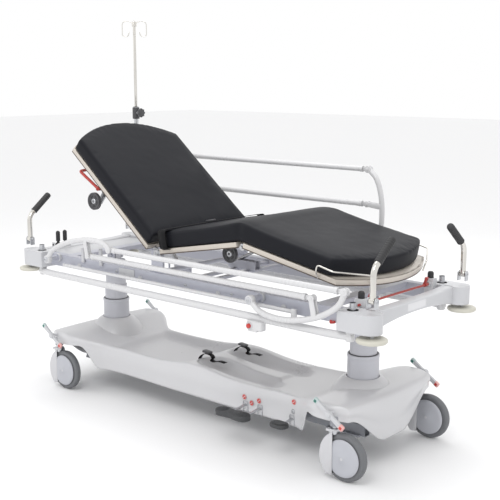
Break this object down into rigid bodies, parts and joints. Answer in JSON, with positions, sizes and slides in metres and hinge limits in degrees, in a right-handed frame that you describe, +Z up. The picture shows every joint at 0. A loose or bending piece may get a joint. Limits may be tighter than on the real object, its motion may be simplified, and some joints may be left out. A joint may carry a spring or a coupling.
{
  "type": "ambulance cot",
  "caption": "Wheeled hospital cot: moulded base, hydraulic columns, tilting frame, three-section platform with mattress, folding side rails, push handles and drip pole.",
  "frame": {"origin": "on the floor, at the centre of the footprint of the bumper discs", "axes": "+X towards the foot end, +Y towards the side stored with its rail raised, +Z up"},
  "size_m": [2.266, 0.817, 1.9027],
  "materials": {
    "cover_white": "moulded satin",
    "chassis_grey": "powder coat",
    "column_grey": "powder coat",
    "frame_grey": "powder coat",
    "casting_white": "moulded satin",
    "rail_white": "powder coat",
    "bar_white": "powder coat",
    "castor_white": "moulded satin",
    "tyre_grey": "moulded",
    "pedal_black": "moulded",
    "lever_grey": "powder coat",
    "buffer_cream": "moulded",
    "chrome": "polished",
    "platform_alloy": "powder coat",
    "mattress_cover": "coated fabric",
    "red_plastic": "moulded",
    "red_metal": "powder coat",
    "dark_plastic": "moulded",
    "steel": "brushed",
    "strut_white": "powder coat"
  },
  "bodies": {
    "base": {"base_chassis": "chassis_grey", "base_cover": "cover_white", "column_sleeves": "column_grey", "hydraulic_pump": "chassis_grey"},
    "lift": {"lift_tubes": "column_grey"},
    "head_piston": {"head_piston": "column_grey"},
    "foot_piston": {"foot_piston": "column_grey"},
    "upper_frame": {"upper_chassis": "frame_grey", "head_end_casting": "casting_white", "foot_end_casting": "casting_white", "bumper_bars": "bar_white", "equipment_rails": "bar_white", "bumper_discs": "buffer_cream", "iv_tube": "steel"},
    "back": {"back_platform": "platform_alloy", "mattress_back": "mattress_cover"},
    "seat": {"seat_platform": "platform_alloy", "mattress_seat": "mattress_cover"},
    "leg": {"leg_platform": "platform_alloy", "mattress_leg": "mattress_cover", "retainer_wires": "chrome"},
    "iv_rod": {"iv_rod": "chrome", "iv_hooks": "chrome"},
    "castor_fork_head_near": {"castor_fork_head_near": "castor_white"},
    "castor_fork_head_far": {"castor_fork_head_far": "castor_white"},
    "castor_fork_foot_near": {"castor_fork_foot_near": "castor_white"},
    "castor_fork_foot_far": {"castor_fork_foot_far": "castor_white"},
    "wheel_head_near": {"wheel_head_near": "tyre_grey"},
    "wheel_head_far": {"wheel_head_far": "tyre_grey"},
    "wheel_foot_near": {"wheel_foot_near": "tyre_grey"},
    "wheel_foot_far": {"wheel_foot_far": "tyre_grey"},
    "pump_pedal_near": {"pump_pedal_near": "pedal_black"},
    "pump_pedal_far": {"pump_pedal_far": "pedal_black"},
    "release_pedal_near": {"release_pedal_near": "pedal_black"},
    "release_pedal_far": {"release_pedal_far": "pedal_black"},
    "brake_levers_head": {"brake_levers_head": "lever_grey"},
    "brake_levers_foot": {"brake_levers_foot": "lever_grey"},
    "push_handle_head_near": {"push_handle_head_near": "chrome"},
    "push_handle_head_far": {"push_handle_head_far": "chrome"},
    "push_handle_foot_near": {"push_handle_foot_near": "chrome"},
    "push_handle_foot_far": {"push_handle_foot_far": "chrome"},
    "rail_head_post_near": {"rail_head_post_near": "rail_white"},
    "rail_foot_post_near": {"rail_foot_post_near": "rail_white"},
    "rail_top_tube_near": {"rail_top_tube_near": "rail_white"},
    "rail_mid_tube_near": {"rail_mid_tube_near": "rail_white"},
    "rail_head_post_far": {"rail_head_post_far": "rail_white"},
    "rail_foot_post_far": {"rail_foot_post_far": "rail_white"},
    "rail_top_tube_far": {"rail_top_tube_far": "rail_white"},
    "rail_mid_tube_far": {"rail_mid_tube_far": "rail_white"},
    "latch_button_near": {"latch_button_near": "red_plastic"},
    "latch_button_far": {"latch_button_far": "red_plastic"},
    "back_release_lever": {"back_release_lever": "red_metal"},
    "strap_reel_back": {"strap_reel_back": "dark_plastic"},
    "strap_reel_seat": {"strap_reel_seat": "dark_plastic"},
    "gas_spring_rod": {"gas_spring_rod": "steel"},
    "gas_spring_cylinder": {"gas_spring_cylinder": "strut_white"},
    "knee_strut": {"knee_strut": "steel"},
    "tilt_bar": {"tilt_bar": "red_metal"},
    "tilt_grips": {"tilt_grips": "dark_plastic"},
    "iv_knob": {"iv_knob": "dark_plastic"}
  },
  "joints": [
    {"name": "lift", "type": "slide", "parent": "base", "child": "lift", "axis": [0, 0, 1], "range_m": [-0.1, 0.15]},
    {"name": "frame_tilt", "type": "hinge", "parent": "head_piston", "child": "upper_frame", "pos_m": [-0.8, 0, 0.668], "axis": [0, 1, 0], "range_deg": [-10, 10]},
    {"name": "head_piston_slide", "type": "slide", "parent": "lift", "child": "head_piston", "axis": [0, 0, 1], "range_m": [-0.145, 0.145]},
    {"name": "foot_piston_slide", "type": "slide", "parent": "lift", "child": "foot_piston", "axis": [0, 0, 1], "range_m": [-0.145, 0.145]},
    {"name": "castor_swivel_head_near", "type": "hinge", "parent": "base", "child": "castor_fork_head_near", "pos_m": [-0.888, -0.32, 0.2], "axis": [0, 0, 1], "continuous": true},
    {"name": "wheel_spin_head_near", "type": "hinge", "parent": "castor_fork_head_near", "child": "wheel_head_near", "pos_m": [-0.833, -0.32, 0.1], "axis": [0, 1, 0], "continuous": true},
    {"name": "castor_swivel_head_far", "type": "hinge", "parent": "base", "child": "castor_fork_head_far", "pos_m": [-0.888, 0.32, 0.2], "axis": [0, 0, 1], "continuous": true},
    {"name": "wheel_spin_head_far", "type": "hinge", "parent": "castor_fork_head_far", "child": "wheel_head_far", "pos_m": [-0.833, 0.32, 0.1], "axis": [0, 1, 0], "continuous": true},
    {"name": "castor_swivel_foot_near", "type": "hinge", "parent": "base", "child": "castor_fork_foot_near", "pos_m": [0.888, -0.32, 0.2], "axis": [0, 0, 1], "continuous": true},
    {"name": "wheel_spin_foot_near", "type": "hinge", "parent": "castor_fork_foot_near", "child": "wheel_foot_near", "pos_m": [0.943, -0.32, 0.1], "axis": [0, 1, 0], "continuous": true},
    {"name": "castor_swivel_foot_far", "type": "hinge", "parent": "base", "child": "castor_fork_foot_far", "pos_m": [0.888, 0.32, 0.2], "axis": [0, 0, 1], "continuous": true},
    {"name": "wheel_spin_foot_far", "type": "hinge", "parent": "castor_fork_foot_far", "child": "wheel_foot_far", "pos_m": [0.943, 0.32, 0.1], "axis": [0, 1, 0], "continuous": true},
    {"name": "pump_pedal_near", "type": "hinge", "parent": "base", "child": "pump_pedal_near", "pos_m": [0.363, -0.17, 0.15], "axis": [1, 0, 0], "range_deg": [0, 14], "stiffness_Nm_per_rad": 20, "springref_deg": -8.59},
    {"name": "release_pedal_near", "type": "hinge", "parent": "base", "child": "release_pedal_near", "pos_m": [0.592, -0.17, 0.15], "axis": [1, 0, 0], "range_deg": [0, 14], "stiffness_Nm_per_rad": 12, "springref_deg": -8.59},
    {"name": "pump_pedal_far", "type": "hinge", "parent": "base", "child": "pump_pedal_far", "pos_m": [0.363, 0.17, 0.15], "axis": [1, 0, 0], "range_deg": [-14, 0], "stiffness_Nm_per_rad": 20, "springref_deg": 8.59},
    {"name": "release_pedal_far", "type": "hinge", "parent": "base", "child": "release_pedal_far", "pos_m": [0.592, 0.17, 0.15], "axis": [1, 0, 0], "range_deg": [-14, 0], "stiffness_Nm_per_rad": 12, "springref_deg": 8.59},
    {"name": "brake_head", "type": "hinge", "parent": "base", "child": "brake_levers_head", "pos_m": [-0.888, 0, 0.28], "axis": [0, 1, 0], "range_deg": [-68, 0]},
    {"name": "brake_foot", "type": "hinge", "parent": "base", "child": "brake_levers_foot", "pos_m": [0.888, 0, 0.28], "axis": [0, 1, 0], "range_deg": [-68, 0]},
    {"name": "push_handle_head_near", "type": "hinge", "parent": "upper_frame", "child": "push_handle_head_near", "pos_m": [-1.071, -0.343, 0.765], "axis": [1, 0, 0], "range_deg": [-90, 0]},
    {"name": "push_handle_head_far", "type": "hinge", "parent": "upper_frame", "child": "push_handle_head_far", "pos_m": [-1.071, 0.343, 0.765], "axis": [1, 0, 0], "range_deg": [0, 90]},
    {"name": "push_handle_foot_near", "type": "hinge", "parent": "upper_frame", "child": "push_handle_foot_near", "pos_m": [1.071, -0.343, 0.765], "axis": [1, 0, 0], "range_deg": [-90, 0]},
    {"name": "push_handle_foot_far", "type": "hinge", "parent": "upper_frame", "child": "push_handle_foot_far", "pos_m": [1.071, 0.343, 0.765], "axis": [1, 0, 0], "range_deg": [0, 90]},
    {"name": "rail_fold_near", "type": "hinge", "parent": "upper_frame", "child": "rail_head_post_near", "pos_m": [-0.861, -0.392, 0.69], "axis": [0, 1, 0], "range_deg": [-73, 0]},
    {"name": "rail_foot_post_near", "type": "hinge", "parent": "upper_frame", "child": "rail_foot_post_near", "pos_m": [0.5, -0.392, 0.69], "axis": [0, 1, 0], "range_deg": [-73, 0]},
    {"name": "rail_top_tube_near", "type": "hinge", "parent": "rail_head_post_near", "child": "rail_top_tube_near", "pos_m": [-0.38362, -0.392, 0.79409], "axis": [0, 1, 0], "range_deg": [0, 73]},
    {"name": "rail_mid_tube_near", "type": "hinge", "parent": "rail_head_post_near", "child": "rail_mid_tube_near", "pos_m": [-0.53903, -0.392, 0.7469], "axis": [0, 1, 0], "range_deg": [0, 73]},
    {"name": "latch_button_near", "type": "slide", "parent": "upper_frame", "child": "latch_button_near", "axis": [0, 1, 0], "range_m": [0, 0.005], "stiffness_N_per_m": 600, "springref_m": -0.004},
    {"name": "rail_fold_far", "type": "hinge", "parent": "upper_frame", "child": "rail_head_post_far", "pos_m": [-0.861, 0.392, 0.69], "axis": [0, 1, 0], "range_deg": [0, 73]},
    {"name": "rail_foot_post_far", "type": "hinge", "parent": "upper_frame", "child": "rail_foot_post_far", "pos_m": [0.5, 0.392, 0.69], "axis": [0, 1, 0], "range_deg": [0, 73]},
    {"name": "rail_top_tube_far", "type": "hinge", "parent": "rail_head_post_far", "child": "rail_top_tube_far", "pos_m": [-0.82096, 0.392, 1.17696], "axis": [0, 1, 0], "range_deg": [-73, 0]},
    {"name": "rail_mid_tube_far", "type": "hinge", "parent": "rail_head_post_far", "child": "rail_mid_tube_far", "pos_m": [-0.82127, 0.392, 1.01454], "axis": [0, 1, 0], "range_deg": [-73, 0]},
    {"name": "latch_button_far", "type": "slide", "parent": "upper_frame", "child": "latch_button_far", "axis": [0, -1, 0], "range_m": [0, 0.005], "stiffness_N_per_m": 600, "springref_m": -0.004},
    {"name": "backrest", "type": "hinge", "parent": "upper_frame", "child": "back", "pos_m": [-0.18, 0, 0.79], "axis": [0, 1, 0], "range_deg": [-39.2, 30.8]},
    {"name": "gas_rod_swing", "type": "hinge", "parent": "back", "child": "gas_spring_rod", "pos_m": [-0.54769, -0.06, 1.05116], "axis": [0, 1, 0], "range_deg": [-15, 15]},
    {"name": "gas_spring_stroke", "type": "slide", "parent": "gas_spring_rod", "child": "gas_spring_cylinder", "axis": [0.623, 0, -0.7822], "range_m": [-0.16, 0.16]},
    {"name": "seat_lift", "type": "hinge", "parent": "upper_frame", "child": "seat", "pos_m": [-0.14, 0, 0.79], "axis": [0, 1, 0], "range_deg": [-12, 10.4]},
    {"name": "knee", "type": "hinge", "parent": "seat", "child": "leg", "pos_m": [0.38129, 0, 0.88568], "axis": [0, 1, 0], "range_deg": [-21, 24.2]},
    {"name": "knee_strut_swing", "type": "hinge", "parent": "seat", "child": "knee_strut", "pos_m": [0.25596, 0.06, 0.84844], "axis": [0, 1, 0], "range_deg": [-8, 8]},
    {"name": "back_release", "type": "hinge", "parent": "back", "child": "back_release_lever", "pos_m": [-0.54145, -0.3, 1.06672], "axis": [0, 1, 0], "range_deg": [0, 10], "stiffness_Nm_per_rad": 4, "springref_deg": -11.46},
    {"name": "strap_reel_back_turn", "type": "hinge", "parent": "back", "child": "strap_reel_back", "pos_m": [-0.55233, -0.334, 1.00592], "axis": [0, 1, 0], "continuous": true},
    {"name": "strap_reel_seat_turn", "type": "hinge", "parent": "seat", "child": "strap_reel_seat", "pos_m": [0.27779, -0.272, 0.84025], "axis": [0, 1, 0], "continuous": true},
    {"name": "tilt_bar_turn", "type": "hinge", "parent": "upper_frame", "child": "tilt_bar", "pos_m": [0.966, 0, 0.722], "axis": [0, 1, 0], "range_deg": [0, 25], "stiffness_Nm_per_rad": 3, "springref_deg": -17.19},
    {"name": "tilt_grips_rock", "type": "hinge", "parent": "upper_frame", "child": "tilt_grips", "pos_m": [-1.025, -0.178, 0.724], "axis": [0, 1, 0], "range_deg": [-12, 12], "stiffness_Nm_per_rad": 6},
    {"name": "iv_rod_slide", "type": "slide", "parent": "upper_frame", "child": "iv_rod", "axis": [0, 0, 1], "range_m": [-0.36, 0.06]},
    {"name": "iv_knob_turn", "type": "hinge", "parent": "upper_frame", "child": "iv_knob", "pos_m": [-0.985, 0.335, 1.4], "axis": [1, 0, 0], "continuous": true}
  ],
  "couplings": [
    {"joint": "head_piston_slide", "follows": "frame_tilt", "m_per_rad": 0.8},
    {"joint": "foot_piston_slide", "follows": "frame_tilt", "m_per_rad": -0.807},
    {"joint": "brake_foot", "follows": "brake_head", "ratio": 1},
    {"joint": "rail_foot_post_near", "follows": "rail_fold_near", "ratio": 1},
    {"joint": "rail_top_tube_near", "follows": "rail_fold_near", "ratio": -1},
    {"joint": "rail_mid_tube_near", "follows": "rail_fold_near", "ratio": -1},
    {"joint": "rail_foot_post_far", "follows": "rail_fold_far", "ratio": 1},
    {"joint": "rail_top_tube_far", "follows": "rail_fold_far", "ratio": -1},
    {"joint": "rail_mid_tube_far", "follows": "rail_fold_far", "ratio": -1},
    {"joint": "gas_rod_swing", "follows": "backrest", "ratio": -0.0253},
    {"joint": "gas_spring_stroke", "follows": "backrest", "m_per_rad": 0.1228},
    {"joint": "knee", "follows": "seat_lift", "ratio": -2},
    {"joint": "knee_strut_swing", "follows": "seat_lift", "ratio": 0.6}
  ]
}
